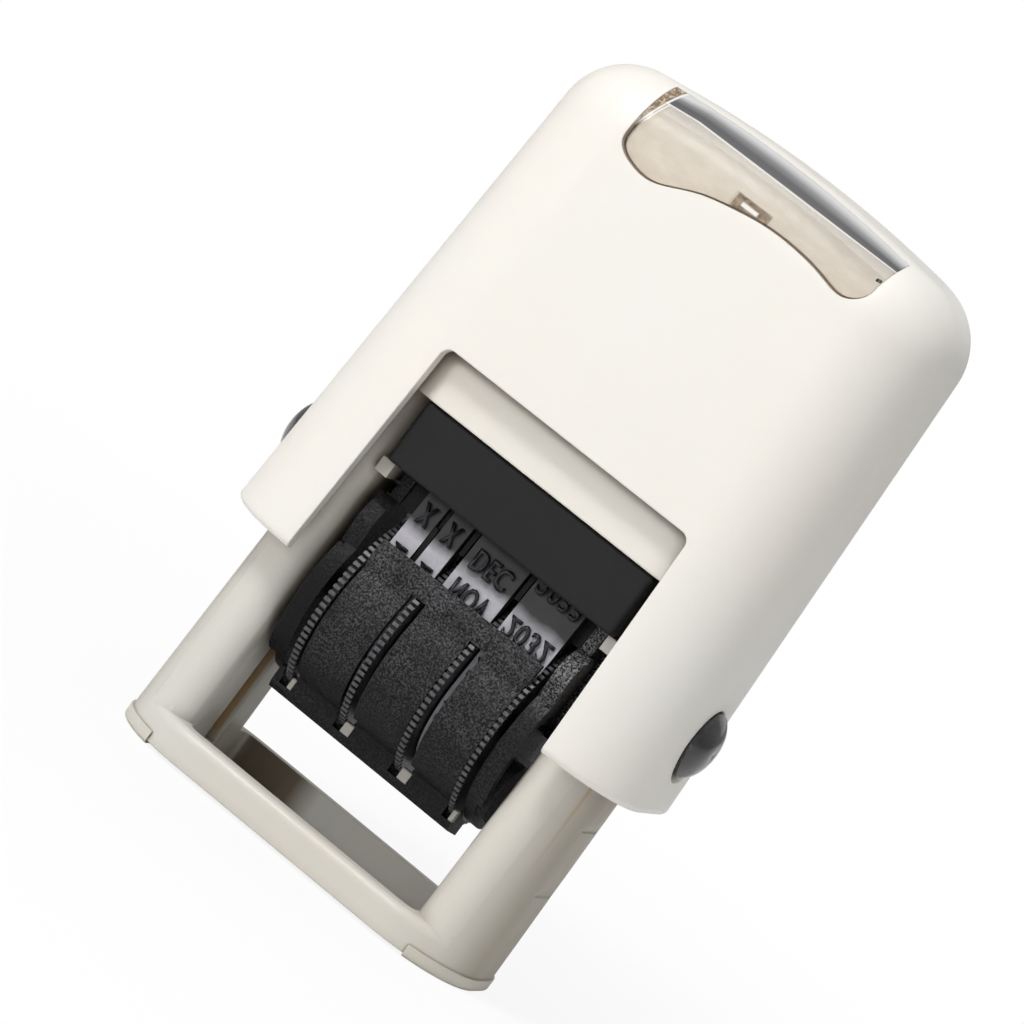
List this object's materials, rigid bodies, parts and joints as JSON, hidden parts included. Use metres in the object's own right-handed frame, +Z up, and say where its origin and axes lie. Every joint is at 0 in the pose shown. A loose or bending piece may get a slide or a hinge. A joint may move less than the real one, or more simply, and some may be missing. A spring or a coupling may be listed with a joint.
{
  "type": "self-inking date stamp",
  "caption": "Upright self-inking date stamp: ivory press cap sliding on a grey frame, with a flip-over thumbwheel date carrier and a slide-out ink cartridge.",
  "frame": {"origin": "centre of the foot on the resting plane", "axes": "+Z up along the press stroke, -Y towards the front with the ink cartridge, +X to the right seen from the front"},
  "size_m": [0.05, 0.0234, 0.0768],
  "materials": {
    "cap_ivory": "satin injection-moulded ivory ABS",
    "frame_grey": "satin warm light grey ABS",
    "shoe_cream": "translucent cream soft plastic",
    "charcoal": "fine matte charcoal plastic",
    "carrier_black": "sparkle-textured black plastic",
    "button_black": "polished black plastic",
    "band_rubber": "dark grey date-band rubber, mirrored type",
    "clear": "clear polished plastic",
    "card": "cream card",
    "foam": "ink-soaked pad felt",
    "spring_steel": "zinc-plated spring wire",
    "pin_steel": "drawn steel pin",
    "peg_grey": "light grey acetal",
    "yoke_grey": "dark grey acetal"
  },
  "bodies": {
    "frame": {"base_frame": "frame_grey", "left_foot_shoe": "shoe_cream", "right_foot_shoe": "shoe_cream", "main_spring": "spring_steel"},
    "cap": {"cap_shell": "cap_ivory", "index_window": "clear", "index_card": "card", "slide_yoke": "yoke_grey"},
    "cartridge": {"pad_tray": "charcoal", "ink_pad": "foam"},
    "carrier": {"left_cheek": "carrier_black", "right_cheek": "carrier_black", "front_guard": "carrier_black", "band_bridge": "carrier_black", "detent_pegs": "peg_grey", "left_axle_pin": "pin_steel", "right_axle_pin": "pin_steel", "wheel_axle": "pin_steel", "day_tens_band": "band_rubber", "day_units_band": "band_rubber", "month_band": "band_rubber", "year_band": "band_rubber"},
    "left_button": {"left_button": "button_black"},
    "right_button": {"right_button": "button_black"},
    "day_tens_wheel": {"day_tens_wheel": "carrier_black"},
    "day_units_wheel": {"day_units_wheel": "carrier_black"},
    "month_wheel": {"month_wheel": "carrier_black"},
    "year_wheel": {"year_wheel": "carrier_black"}
  },
  "joints": [
    {"name": "cap_press", "type": "slide", "parent": "frame", "child": "cap", "axis": [0, 0, -1], "range_m": [0, 0.0215], "stiffness_N_per_m": 350, "springref_m": -0.012, "deforming": ["main_spring"]},
    {"name": "carrier_flip", "type": "hinge", "parent": "cap", "child": "carrier", "pos_m": [0, 0, 0.02975], "axis": [1, 0, 0], "range_deg": [0, 180]},
    {"name": "pad_slide", "type": "slide", "parent": "frame", "child": "cartridge", "axis": [0, -1, 0], "range_m": [0, 0.022]},
    {"name": "left_button_push", "type": "slide", "parent": "cap", "child": "left_button", "axis": [1, 0, 0], "range_m": [0, 0.0008]},
    {"name": "right_button_push", "type": "slide", "parent": "cap", "child": "right_button", "axis": [-1, 0, 0], "range_m": [0, 0.0008]},
    {"name": "day_tens_turn", "type": "hinge", "parent": "carrier", "child": "day_tens_wheel", "pos_m": [0, 0, 0.0207], "axis": [1, 0, 0], "continuous": true},
    {"name": "day_units_turn", "type": "hinge", "parent": "carrier", "child": "day_units_wheel", "pos_m": [0, 0, 0.0207], "axis": [1, 0, 0], "continuous": true},
    {"name": "month_turn", "type": "hinge", "parent": "carrier", "child": "month_wheel", "pos_m": [0, 0, 0.0207], "axis": [1, 0, 0], "continuous": true},
    {"name": "year_turn", "type": "hinge", "parent": "carrier", "child": "year_wheel", "pos_m": [0, 0, 0.0207], "axis": [1, 0, 0], "continuous": true}
  ],
  "couplings": [
    {"joint": "carrier_flip", "follows": "cap_press", "rad_per_m": 146.12}
  ]
}
